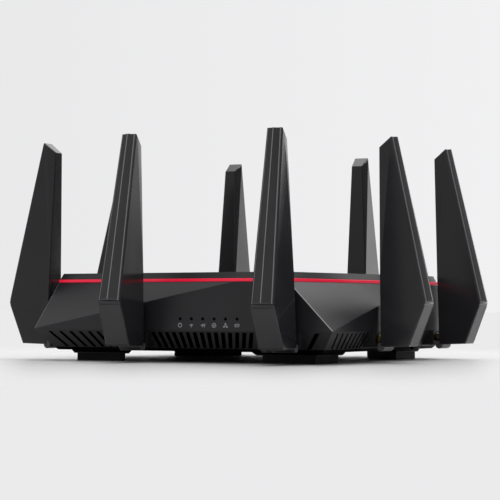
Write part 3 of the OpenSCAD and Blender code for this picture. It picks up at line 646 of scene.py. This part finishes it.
class ROUTER_OT_stage(bpy.types.Operator):
    """Floor, backdrop, light and camera"""

    bl_idname = "router.stage"
    bl_label = "Stage"

    def execute(self, context):
        scene, stage = context.scene, context.scene.router_stage
        bpy.ops.object.select_all(action="DESELECT")
        bpy.ops.mesh.primitive_plane_add(size=60, location=(0, 0, 0))
        floor = settle(context.active_object)
        floor.name = "floor"
        material, tree, matt, place = start_finish("floor_paper")
        raised(tree, matt, 0.05, 0.1 * MM, noise(tree, place, 900, 2))
        matt.inputs["Base Color"].default_value = (*stage.floor, 1)
        matt.inputs["Roughness"].default_value = 0.5
        glow = node(tree, "Emission", {"Color": (*stage.backdrop, 1), "Strength": 1.0})
        away = node(tree, "VectorMath", {0: place}, operation="LENGTH").outputs["Value"]
        fade = mapped(tree, away, *FLOOR_FADE, 0.0, 1.0, "SMOOTHSTEP")
        seen = maths(tree, "MULTIPLY", fade, node(tree, "LightPath").outputs["Is Camera Ray"])
        blend = node(tree, "MixShader", {0: seen, 1: matt.outputs[0], 2: glow.outputs[0]})
        tree.links.new(blend.outputs[0], tree.nodes["Material Output"].inputs["Surface"])
        floor.data.materials.append(material)
        self.make_world(scene, stage)
        self.make_lamp(scene, stage)
        self.make_camera(scene, stage)
        scene.view_settings.view_transform = "Standard"
        return {"FINISHED"}

    def make_world(self, scene, stage):
        """A tall window behind, a ceiling, a soft fill in front, and the backdrop's colour with
        painted light, brighter towards one end.
        """
        world = bpy.data.worlds.new("studio")
        scene.world = world
        world.use_nodes = True
        tree = world.node_tree
        tree.nodes.clear()
        way = node(tree, "TexCoord").outputs["Generated"]
        parts = node(tree, "SeparateXYZ", {"Vector": way})
        rise = parts.outputs["Z"]
        bearing = maths(tree, "ARCTAN2", parts.outputs["X"], parts.outputs["Y"])

        def step(value, start, end, top):
            """Rises softly from 0 at the start to the top at the end."""
            return mapped(tree, value, start, end, 0.0, top, "SMOOTHSTEP")

        flare = step(rise, *FLARE_RISE, math.radians(WINDOW_FLARE))
        right = step(maths(tree, "SUBTRACT", bearing, flare),
                     *map(math.radians, WINDOW_RIGHT), 1.0)
        left = step(bearing, *map(math.radians, WINDOW_LEFT), stage.window)
        window = maths(tree, "MULTIPLY", right, left)
        level = maths(tree, "MAXIMUM", window, step(rise, *CEILING_RISE, stage.sky))
        for more in (step(dot(tree, way, FILL_SIDE), *FILL_SOFT, stage.fill), stage.room):
            level = maths(tree, "ADD", level, more)
        around = node(tree, "Background", {"Color": (1.0, 1.0, 1.0, 1), "Strength": level})
        # painted light: the backdrop seen by the camera grows brighter from one end to the other
        across = dot(tree, way, WASH_SIDE)
        wash = mapped(tree, across, -WASH_REACH, WASH_REACH, *WASH_LEVEL)
        seen = node(tree, "Background", {"Color": (*stage.backdrop, 1), "Strength": wash})
        paths = node(tree, "LightPath")
        choice = node(tree, "MixShader", {0: paths.outputs["Is Camera Ray"],
                                          1: around.outputs[0], 2: seen.outputs[0]})
        node(tree, "OutputWorld", {"Surface": choice.outputs[0]})

    def make_lamp(self, scene, stage):
        """A wide soft lamp overhead."""
        lamp = bpy.data.lights.new("overhead", "AREA")
        lamp.shape = "SQUARE"
        lamp.size = LAMP_SIZE
        lamp.energy = stage.lamp
        obj = bpy.data.objects.new("overhead", lamp)
        scene.collection.objects.link(obj)
        obj.location = LAMP_PLACE
        way = Vector(LAMP_AIM) - Vector(LAMP_PLACE)
        obj.rotation_euler = way.to_track_quat("-Z", "Y").to_euler()

    def make_camera(self, scene, stage):
        """The camera, from its yaw, pitch and roll."""
        camera = bpy.data.cameras.new("camera")
        camera.sensor_width = 36
        camera.lens = stage.lens
        camera.clip_start = 0.05
        camera.clip_end = 100
        obj = bpy.data.objects.new("camera", camera)
        scene.collection.objects.link(obj)
        yaw, pitch, roll = (math.radians(a) for a in CAMERA_TURN)
        ahead = Vector((-math.sin(yaw) * math.cos(pitch), math.cos(yaw) * math.cos(pitch),
                        math.sin(pitch)))
        level = Vector((math.cos(yaw), math.sin(yaw), 0))
        lift = level.cross(ahead)
        right = level * math.cos(roll) + lift * math.sin(roll)
        up = lift * math.cos(roll) - level * math.sin(roll)
        obj.matrix_world = axes_at((right, up, -ahead), CAMERA_PLACE)
        scene.camera = obj


class ROUTER_OT_cover(bpy.types.Operator):
    """Faceted top cover, with its creases and rims slightly rounded"""

    bl_idname = "router.cover"
    bl_label = "Top cover"

    def execute(self, context):
        sizes = context.scene.router_sizes
        low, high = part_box("top_cover")
        reach = high.x - RIM
        skin = cad_copy("top_cover", "cover_skin")

        def outside(line):
            """A long crease of the outer faces, and not of the posts and walls inside."""
            return crease(line, 12, 20) and all(
                outermost(v.co) > reach
                or v.co.z > high.z - NEAR and outermost(v.co) > reach - CUT
                for v in line.verts
            ) and max(v.co.z for v in line.verts) > low.z + NEAR

        round_edges(skin, outside, sizes.facet_edge, clamp=False)
        # painted highlight: the rounded strips along the four hip creases get a light grey finish
        waist = Vector((BAND[1][0], -BAND[1][0], BAND[1][1]))
        hips = [(side(k) @ waist, side(k) @ Vector(SHOULDER_CORNER)) for k in range(4)]
        kept = finishes()
        painted_highlight_strips(skin, hips, kept["cover_plastic"], kept["cover_edge"])
        even(skin)
        finish_piece(skin, "base", None, ["top_cover"])
        return {"FINISHED"}


class ROUTER_OT_trim(bpy.types.Operator):
    """Coloured line round the body, with its outer edges rounded"""

    bl_idname = "router.trim"
    bl_label = "Trim"

    def execute(self, context):
        ring = cad_copy("trim_ring", "trim_line")
        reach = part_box("trim_ring")[1].x - RIM

        def outside(line):
            return (crease(line, 30, 4) and all(outermost(v.co) > reach - CUT for v in line.verts)
                    and any(outermost(v.co) > reach for v in line.verts))

        def faces_in(face):
            return face.normal.xy.dot(face.calc_center_median().xy) < -0.01

        round_edges(ring, outside, context.scene.router_sizes.case_edge)
        even(ring)
        kept = finishes()
        # painted shade: the trim's inward faces get the near-black finish, so no red shows
        # through the grille
        two_finishes(ring, faces_in, kept["trim_lacquer"], kept["cloth_black"])
        finish_piece(ring, "base", None, ["trim_ring"])
        return {"FINISHED"}


class ROUTER_OT_shades(bpy.types.Operator):
    """Near-black sheets behind the vents: painted shade that hides the parts inside"""

    bl_idname = "router.liners"
    bl_label = "Vent shades"

    def execute(self, context):
        lean = (BAND[1][0] - BAND[0][0]) / (BAND[1][1] - BAND[0][1])
        for n, (k, start, end) in enumerate(SHADE_SHEETS):
            foot = -BAND[0][0] / MM + SHEET_BACK
            shade_sheet = block(f"liner{n + 1}", (start, foot, SHEET_FOOT),
                          (end, foot + SHEET_THICK, SHEET_TOP), 0)
            edit(shade_sheet)
            pick(shade_sheet, "FACE", lambda f: f.normal.z > 0.9)
            bpy.ops.mesh.inset(thickness=0.08 * MM)
            pick(shade_sheet, "FACE", lambda f: f.calc_center_median().z > (SHEET_TOP - 0.1) * MM)
            bpy.ops.transform.translate(value=(0, (SHEET_FOOT - SHEET_TOP) * MM * lean, 0))
            bpy.ops.transform.resize(value=(SHEET_WIDENS, 1, 1), center_override=(0, 0, 0))
            face_outwards()
            leave()
            shade_sheet.data.transform(side(k))
            finish_piece(shade_sheet, "base", finishes()["cloth_black"])
        return {"FINISHED"}


class ROUTER_OT_feet(bpy.types.Operator):
    """Four corner feet with softened edges"""

    bl_idname = "router.feet"
    bl_label = "Feet"

    def execute(self, context):
        pads = cad_copy("feet", "foot_pads")
        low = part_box("feet")[0].z
        round_edges(pads, lambda line: crease(line, 30, 4)
                    and min(v.co.z for v in line.verts) < low + MM, 0.4 * MM)
        even(pads)
        finish_piece(pads, "base", finishes()["foot_rubber"], ["feet"])
        return {"FINISHED"}


class ROUTER_OT_leads(bpy.types.Operator):
    """Leads between the antenna studs and the board, smoothed"""

    bl_idname = "router.leads"
    bl_label = "Antenna leads"

    def execute(self, context):
        leads = cad_copy("coax_leads", "lead_jackets")
        edit(leads)
        pick_all()
        bpy.ops.mesh.dissolve_degenerate(threshold=NEAR)
        leave()
        even(leads, 40)
        finish_piece(leads, "base", finishes()["lead_black"], ["coax_leads"])
        return {"FINISHED"}


def check_place(piece, node_name):
    """Raises an error where a piece lies off the node that it replaces."""
    low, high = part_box(node_name)
    spots = [piece.matrix_world @ v.co for v in piece.data.vertices]
    off = max(max(abs(min(p[a] for p in spots) - low[a]),
                  abs(max(p[a] for p in spots) - high[a])) for a in range(3))
    if off > 0.4 * MM:
        raise RuntimeError(f"{piece.name} is {off / MM:.2f} mm off {node_name}")


def spread_antennas(first, material, part=None):
    """Puts a copy of antenna 1's piece on every antenna, in place of a part if one is named."""
    home = antenna_place(1).inverted()
    for i in ANTENNAS:
        piece = first if i == 1 else copy_of(
            first, first.name.replace("antenna1", f"antenna{i}"), antenna_place(i) @ home)
        nodes = [f"antenna{i}_{part}"] if part else []
        for node_name in nodes:
            check_place(piece, node_name)
        finish_piece(piece, f"antenna{i}_blade", material, nodes)


class ROUTER_OT_blades(bpy.types.Operator):
    """Antenna shells with rounded edges"""

    bl_idname = "router.blades"
    bl_label = "Antenna shells"

    def execute(self, context):
        skin = cad_copy("antenna1_shell", "antenna1_blade_skin")
        home = antenna_place(1).inverted()

        def outer(line):
            """A long crease of the blade, above the hinge's ears."""
            return crease(line, 15, 6) and all((home @ v.co).z > 14 * MM for v in line.verts)

        round_edges(skin, outer, context.scene.router_sizes.blade_edge)
        even(skin)
        spread_antennas(skin, finishes()["blade_plastic"], "shell")
        return {"FINISHED"}


class ROUTER_OT_ridges(bpy.types.Operator):
    """Ridged outer covers of the antennas"""

    bl_idname = "router.ridges"
    bl_label = "Antenna covers"

    def execute(self, context):
        ridge = cad_copy("antenna1_cover", "antenna1_ridge")
        home = antenna_place(1).inverted()
        spots = [home @ v.co for v in ridge.data.vertices]
        lines = []
        for hand in (-1, 0, 1):
            row = [p for p in spots if (abs(p.y) < NEAR if hand == 0 else p.y * hand > NEAR)]
            foot = max(row, key=lambda p: p.x)
            tip = max((p for p in row if p.z > 0.1), key=lambda p: p.x)
            lines.append((foot, tip))
        round_edges(ridge, lambda line: crease(line, 10), 0.35 * MM)
        # painted highlight: the rounded strips along the ridge and the two outer long edges get a
        # light grey finish
        kept = finishes()
        painted_highlight_strips(ridge, lines, kept["plate_plastic"], kept["plate_edge"], home)
        even(ridge, 20)
        spread_antennas(ridge, None, "cover")
        return {"FINISHED"}


class ROUTER_OT_plates(bpy.types.Operator):
    """Framed lower plates of the antennas, under the knee"""

    bl_idname = "router.plates"
    bl_label = "Lower plates"

    def execute(self, context):
        plate = block("antenna1_plate", (-9, -15.6, -0.4), (9, 15, 0.3), 0.25)
        inset_top(plate, 100, 0.8, 0)
        inset_top(plate, 100, 0.3, -0.12)
        even(plate)
        foot, knee = Vector(PLATE_FOOT) * MM, Vector(PLATE_KNEE) * MM
        width, length_way = Vector((0, 1, 0)), (knee - foot).normalized()
        spot = axes_at((width, length_way, width.cross(length_way)), (foot + knee) / 2)
        plate.data.transform(antenna_place(1) @ spot)
        spread_antennas(plate, finishes()["plate_satin"])
        return {"FINISHED"}


class ROUTER_OT_caps(bpy.types.Operator):
    """Slotted caps on the ends of the hinge pins"""

    bl_idname = "router.caps"
    bl_label = "Hinge caps"

    def execute(self, context):
        cap = turned("antenna1_cap_right", [(-0.3, 2.7), (0.2, 2.85), (0.42, 2.6), (0.5, 2.2)])
        inset_top(cap, 10, 0.5, 0)
        inset_top(cap, 5, 0.15, -0.3)
        even(cap)
        twin = copy_of(cap, "antenna1_cap_left")
        for piece, turn in ((cap, -90), (twin, 90)):
            reach = Matrix.Translation((0, EAR * (1 if turn < 0 else -1), 0))
            piece.data.transform(antenna_place(1) @ reach
                                 @ Matrix.Rotation(math.radians(turn), 4, "X"))
            spread_antennas(piece, finishes()["cap_plastic"])
        return {"FINISHED"}


class ROUTER_OT_icons(bpy.types.Operator):
    """Icons printed under the indicator lights"""

    bl_idname = "router.icons"
    bl_label = "Icons"

    def arc(self, radius, width, start, end, centre=(0, 0)):
        """A flat arc between two angles, measured from the right."""
        bpy.ops.object.select_all(action="DESELECT")
        bpy.ops.mesh.primitive_circle_add(vertices=48, radius=radius * MM, fill_type="NOTHING")
        obj = bpy.context.active_object
        edit(obj)
        pick_all()
        bpy.ops.mesh.extrude_edges_move()
        grow = (radius + width) / radius
        bpy.ops.transform.resize(value=(grow, grow, 1), center_override=(0, 0, 0))
        if end - start < 360:
            if pick(obj, "FACE", lambda f: not start <= self.angle(f, start) <= end):
                bpy.ops.mesh.delete(type="FACE")
        return self.thicken(obj, centre)

    def angle(self, face, start):
        """A face's bearing from the middle, in degrees from start on."""
        spot = face.calc_center_median()
        turn = math.degrees(math.atan2(spot.y, spot.x))
        while turn < start:
            turn += 360
        return turn

    def bar(self, width, height, centre=(0, 0)):
        """A flat bar, level or upright."""
        bpy.ops.object.select_all(action="DESELECT")
        bpy.ops.mesh.primitive_plane_add(size=MM)
        obj = bpy.context.active_object
        edit(obj)
        pick_all()
        bpy.ops.transform.resize(value=(width, height, 1), center_override=(0, 0, 0))
        return self.thicken(obj, centre)

    def thicken(self, obj, centre):
        """Gives a drawn line the thickness of print, and puts it in its place."""
        pick_all()
        bpy.ops.mesh.extrude_region_move(TRANSFORM_OT_translate={"value": (0, 0, 0.05 * MM)})
        face_outwards()
        bpy.ops.transform.translate(value=(centre[0] * MM, centre[1] * MM, 0))
        leave()
        return obj

    def signal(self):
        """A dot with two waves over it."""
        low = (0, -1)
        return [self.arc(0.6, 0.35, 40, 140, low), self.arc(1.3, 0.35, 40, 140, low),
                self.bar(0.5, 0.5, (0, -0.95))]

    def execute(self, context):
        arc, bar = self.arc, self.bar
        drawings = {
            "power": [arc(1.1, 0.35, 115, 425), bar(0.35, 1.4, (0, 0.9))],
            "wave": self.signal(),
            "wave_fast": [*self.signal(), bar(0.35, 2.2, (1.5, -0.1))],
            "globe": [arc(1.2, 0.3, 0, 360), bar(2.4, 0.25), bar(0.25, 2.4)],
            "network": [bar(1, 0.8, (0, 0.95)), bar(1, 0.8, (-1, -0.95)), bar(1, 0.8, (1, -0.95)),
                        bar(0.3, 1.2), bar(2.3, 0.3, (0, -0.1)), bar(0.3, 0.8, (-1, -0.4)),
                        bar(0.3, 0.8, (1, -0.4))],
            "link": [arc(0.7, 0.35, 60, 300, (-0.65, 0)), arc(0.7, 0.35, -120, 120, (0.65, 0)),
                     bar(1.4, 0.3)],
        }
        size = context.scene.router_sizes.icon / (ICON_DRAWN * MM)
        face = -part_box("top_cover")[1].x + 0.05 * MM
        for n, (kind, parts) in enumerate(drawings.items()):
            icon = join(f"icon_{kind}", parts)
            icon.data.transform(Matrix.Translation((LIGHT_START + n * LIGHT_STEP, face, ICON_Z))
                                @ Matrix.Rotation(math.pi / 2, 4, "X")
                                @ Matrix.Diagonal((size, size, 1, 1)))
            finish_piece(icon, "base", finishes()["print_grey"])
        return {"FINISHED"}


class ROUTER_OT_contacts(bpy.types.Operator):
    """Sprung contacts in the network sockets, and the sockets' link lights"""

    bl_idname = "router.contacts"
    bl_label = "Socket contacts"

    def execute(self, context):
        wire = block("wire", (-0.25, -117.6, 22.9), (0.25, -116.6, 23.3), 0)
        for move in ((0, 5, -1.6), (0, 3, -0.6), (0, 1, 0.8)):
            far = max(v.co.y for v in wire.data.vertices)
            edit_faces(wire, lambda f: f.calc_center_median().y > far - NEAR, "at its end")
            bpy.ops.mesh.extrude_region_move(
                TRANSFORM_OT_translate={"value": Vector(move) * MM})
            leave()
        round_edges(wire, lambda line: crease(line, 60, 0.8), 0.08 * MM, 1)
        even(wire, 40)
        wire_step = 1.1 * MM
        row = [copy_of(wire, f"wire{n}", Matrix.Translation(((n - 3.5) * wire_step, 0, 0)))
               for n in range(8)]
        bpy.data.objects.remove(wire)
        comb = join("contacts_wan", row)
        light = block("light", (-1.1, -119.75, 25.0), (1.1, -119.4, 26.0), 0.12)
        even(light)
        for n, along in enumerate(SOCKETS):
            turn = side(2) @ Matrix.Translation((along, 0, 0))
            made = copy_of(comb, "contacts_wan" if n == 0 else f"contacts_lan{n}", turn)
            finish_piece(made, "base", finishes()["gold_plate"])
            for hand, colour_name in ((-1, "green"), (1, "amber")):
                lit = copy_of(light, f"link_{colour_name}{n}",
                              turn @ Matrix.Translation((hand * 4.3 * MM, 0, 0)))
                finish_piece(lit, "base", finishes()[f"light_{colour_name}"])
        bpy.data.objects.remove(comb)
        bpy.data.objects.remove(light)
        return {"FINISHED"}


class ROUTER_OT_usb(bpy.types.Operator):
    """Tongues with contacts in the two USB sockets"""

    bl_idname = "router.usb"
    bl_label = "USB tongues"

    def execute(self, context):
        for name, k, finish in (("usb_rear", 2, "socket_black"), ("usb_side", 3, "socket_blue")):
            low, high = (c.copy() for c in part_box(name))
            centre = side(k).inverted() @ ((low + high) / 2)
            along, top = centre.x / MM, high.z / MM
            tongue = block(f"{name}_tongue", (along - 5.1, -118.2, top - 2.6),
                           (along + 5.1, -106.6, top - 0.65), 0.2)
            even(tongue)
            tongue.data.transform(side(k))
            finish_piece(tongue, "base", finishes()[finish])
            starts = [along - 3.9 + n * 2.2 for n in range(4)]
            pads = [block("pad", (start, -117.2, top - 2.75), (start + 1.2, -109, top - 2.5),
                          0.06, 1) for start in starts]
            strip = even(join(f"{name}_contacts", pads))
            strip.data.transform(side(k))
            finish_piece(strip, "base", finishes()["gold_plate"])
        return {"FINISHED"}


class ROUTER_OT_pin(bpy.types.Operator):
    """Pin in the power inlet"""

    bl_idname = "router.pin"
    bl_label = "Inlet pin"

    def execute(self, context):
        low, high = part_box("power_inlet")
        centre = (low + high) / 2
        pin = turned("inlet_pin", [(0, 1.05), (7.4, 1.05), (7.9, 0.9), (8.2, 0.5)], 24)
        even(pin)
        pin.data.transform(Matrix.Translation((centre.x, high.y - 9.2 * MM, centre.z))
                           @ Matrix.Rotation(-math.pi / 2, 4, "X"))
        finish_piece(pin, "base", finishes()["steel_bright"])
        return {"FINISHED"}


class ROUTER_OT_buttons(bpy.types.Operator):
    """Faces of the buttons: a rounded cap with a ring on each"""

    bl_idname = "router.buttons"
    bl_label = "Buttons"

    def execute(self, context):
        for name in ("wps", "wifi", "led"):
            low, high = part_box(f"{name}_button")
            centre = (low + high) / 2
            cap = turned(f"{name}_cap", [(0, 2.62), (0.7, 2.62), (0.95, 2.4), (1.02, 2.1)], 40)
            inset_top(cap, 10, 0.5, 0)
            inset_top(cap, 1, 0.2, -0.12)
            even(cap)
            cap.data.transform(Matrix.Translation((low.x + 1.0 * MM, centre.y, centre.z))
                               @ Matrix.Rotation(-math.pi / 2, 4, "Y"))
            finish_piece(cap, f"{name}_key", finishes()["button_plastic"])
        return {"FINISHED"}


class ROUTER_OT_plain(bpy.types.Operator):
    """Finishes for the CAD parts that stay as they are"""

    bl_idname = "router.plain"
    bl_label = "Other finishes"

    def execute(self, context):
        kept = finishes()
        table = {
            "bottom_case": "case_plastic", "top_grille": "crown_plastic",
            "case_screws": "steel_bright",
            "main_board": "board_mask", "board_screws": "steel_bright",
            "board_parts": "chip_black", "processor": "chip_black", "thermal_pad": "pad_grey",
            "heatsink": "sink_metal", "radio_cans": "shield_metal",
            "lan_sockets": "socket_yellow", "wan_socket": "socket_blue",
            "usb_rear": "steel_bright", "usb_side": "steel_bright",
            "power_inlet": "socket_black", "button_switches": "socket_black",
            "power_button": "button_plastic", "reset_button": "button_plastic",
            "wps_button": "button_plastic", "wifi_button": "button_plastic",
            "led_button": "button_plastic", "light_pipes": "lens_smoke",
            "antenna_jacks": "gold_thread", "jack_nuts": "nut_metal",
        }
        for i in ANTENNAS:
            table[f"antenna{i}_radiator"] = "radiator_board"
            table[f"antenna{i}_knuckle"] = "knuckle_plastic"
        for name, finish in table.items():
            dress(name, kept[finish])
        return {"FINISHED"}


STEPS = (
    ROUTER_OT_stage,
    ROUTER_OT_plain,
    ROUTER_OT_cover,
    ROUTER_OT_trim,
    ROUTER_OT_shades,
    ROUTER_OT_feet,
    ROUTER_OT_leads,
    ROUTER_OT_blades,
    ROUTER_OT_ridges,
    ROUTER_OT_plates,
    ROUTER_OT_caps,
    ROUTER_OT_icons,
    ROUTER_OT_contacts,
    ROUTER_OT_usb,
    ROUTER_OT_pin,
    ROUTER_OT_buttons,
)


class ROUTER_PT_panel(bpy.types.Panel):
    """Lists the router's pieces"""

    bl_idname = "ROUTER_PT_panel"
    bl_label = "Wireless router"
    bl_space_type = "VIEW_3D"
    bl_region_type = "UI"
    bl_category = "Router"

    def draw(self, context):
        layout = self.layout
        for group in ("router_colours", "router_sizes", "router_stage"):
            settings = getattr(context.scene, group)
            for name in settings.__annotations__:
                layout.prop(settings, name)
        for step in STEPS:
            layout.operator(step.bl_idname)


CLASSES = (RouterColours, RouterSizes, RouterStage, *STEPS, ROUTER_PT_panel)


def register():
    for cls in CLASSES:
        bpy.utils.register_class(cls)
    bpy.types.Scene.router_colours = PointerProperty(type=RouterColours)
    bpy.types.Scene.router_sizes = PointerProperty(type=RouterSizes)
    bpy.types.Scene.router_stage = PointerProperty(type=RouterStage)


def unregister():
    del bpy.types.Scene.router_stage
    del bpy.types.Scene.router_sizes
    del bpy.types.Scene.router_colours
    for cls in reversed(CLASSES):
        bpy.utils.unregister_class(cls)


def main():
    register()
    for step in STEPS:
        group, name = step.bl_idname.split(".")
        getattr(getattr(bpy.ops, group), name)()


if __name__ == "__main__":
    main()
